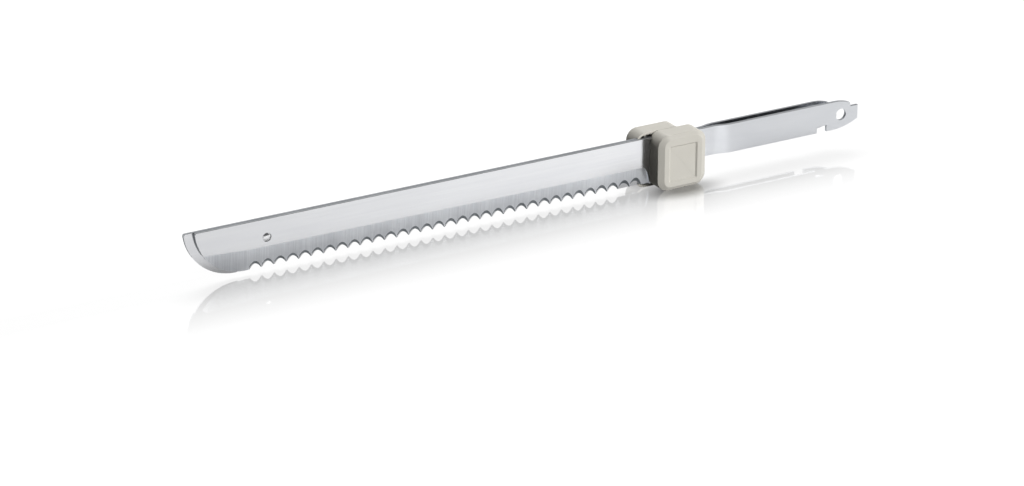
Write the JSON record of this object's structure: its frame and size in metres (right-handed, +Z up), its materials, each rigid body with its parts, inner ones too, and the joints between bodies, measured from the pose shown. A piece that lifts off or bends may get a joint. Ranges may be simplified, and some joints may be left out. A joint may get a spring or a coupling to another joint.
{
  "type": "electric carving knife blade set",
  "caption": "Long serrated carving blades that slide face to face, hooked near the tip by a stud, each with a hollow moulded guard and a flat drive tang.",
  "frame": {"origin": "under the middle of the whole set, on the surface that the guards stand on", "axes": "+X along the blades from the tips to the tangs; +Z up, from the cutting edges to the spines; -Y out of the front blade's outer face"},
  "size_m": [0.288, 0.0166, 0.0223],
  "materials": {
    "blade_steel": "satin stainless strip, with a bevel ground across the blade",
    "stud_steel": "bright turned stainless",
    "guard_plastic": "satin moulded, warm light grey"
  },
  "bodies": {
    "front_half": {"front_blade": "blade_steel", "tip_stud": "stud_steel", "front_guard": "guard_plastic"},
    "back_half": {"back_blade": "blade_steel", "back_guard": "guard_plastic"}
  },
  "joints": [
    {"name": "blade_slide", "type": "slide", "parent": "front_half", "child": "back_half", "axis": [1, 0, 0], "range_m": [-0.0032, 0.0108]}
  ]
}
